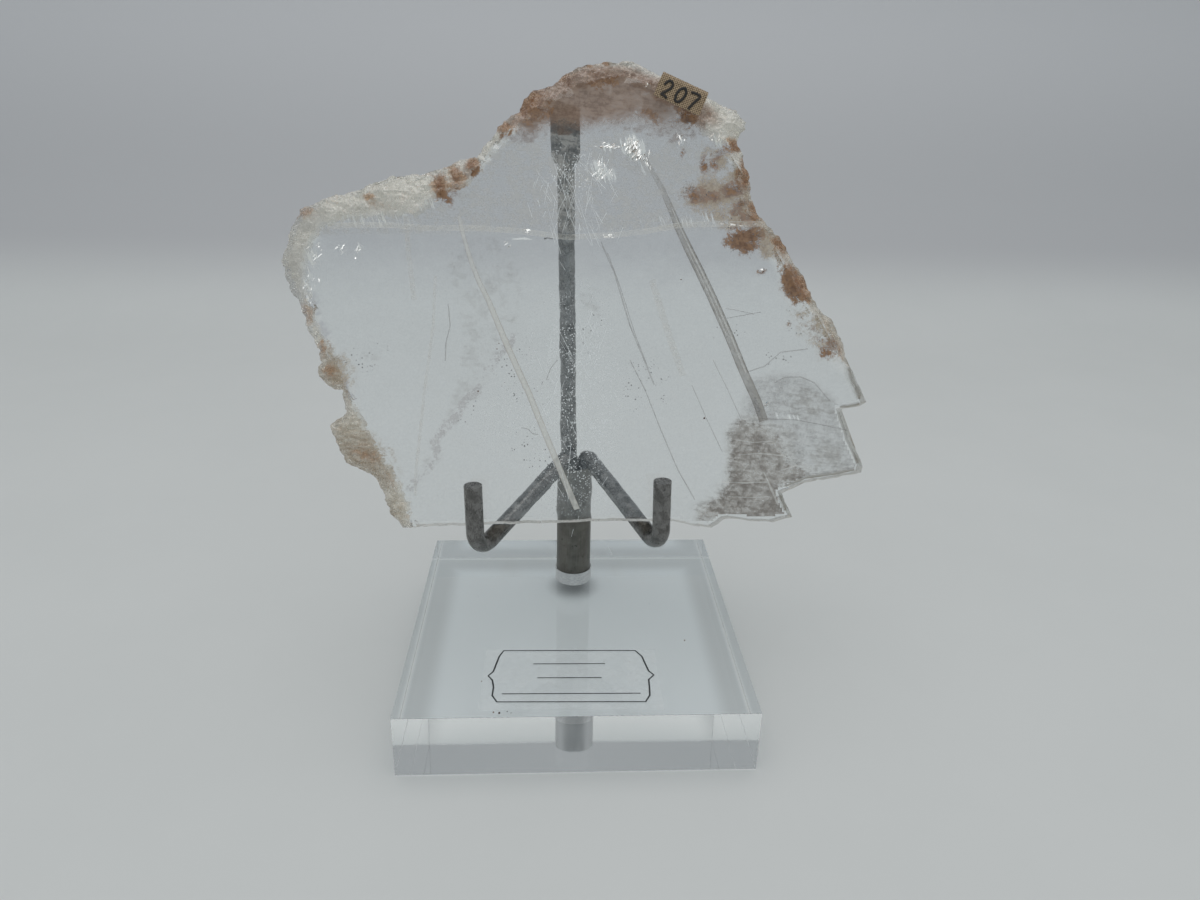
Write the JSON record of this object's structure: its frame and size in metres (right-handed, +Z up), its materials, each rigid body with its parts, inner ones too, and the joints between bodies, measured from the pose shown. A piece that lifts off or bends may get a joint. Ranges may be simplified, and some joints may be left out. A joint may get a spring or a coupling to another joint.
{
  "type": "selenite crystal blade on a display stand",
  "caption": "Clear, thin gypsum crystal plate with a rough crust, leaning on a hooked steel rod stand set in a clear acrylic block.",
  "frame": {"origin": "centre of the acrylic block's underside", "axes": "+Z up, +X to the right seen from the front, the front of the stand and the blade's clear face look along -Y"},
  "size_m": [0.1275, 0.0762, 0.1394],
  "materials": {
    "acrylic_base": "polished clear acrylic with a frosted drill hole",
    "post": "dark, finely drawn along its length",
    "rod_steel": "dull grey, worn, with small dark stains",
    "rod_cap": "matt",
    "selenite": "clear, satin cleavage faces, cream and rust-stained rough crust on three edges",
    "number_tag": "tan woven tape with a hand-inked number",
    "base_label": "clear film with a thin black ruled border"
  },
  "bodies": {
    "root": {"acrylic_base": "acrylic_base", "post": "post", "left_arm": "rod_steel", "right_arm": "rod_steel", "back_rod": "rod_steel", "rod_cap": "rod_cap", "selenite_blade": "selenite", "number_tag": "number_tag", "base_label": "base_label"}
  },
  "joints": []
}
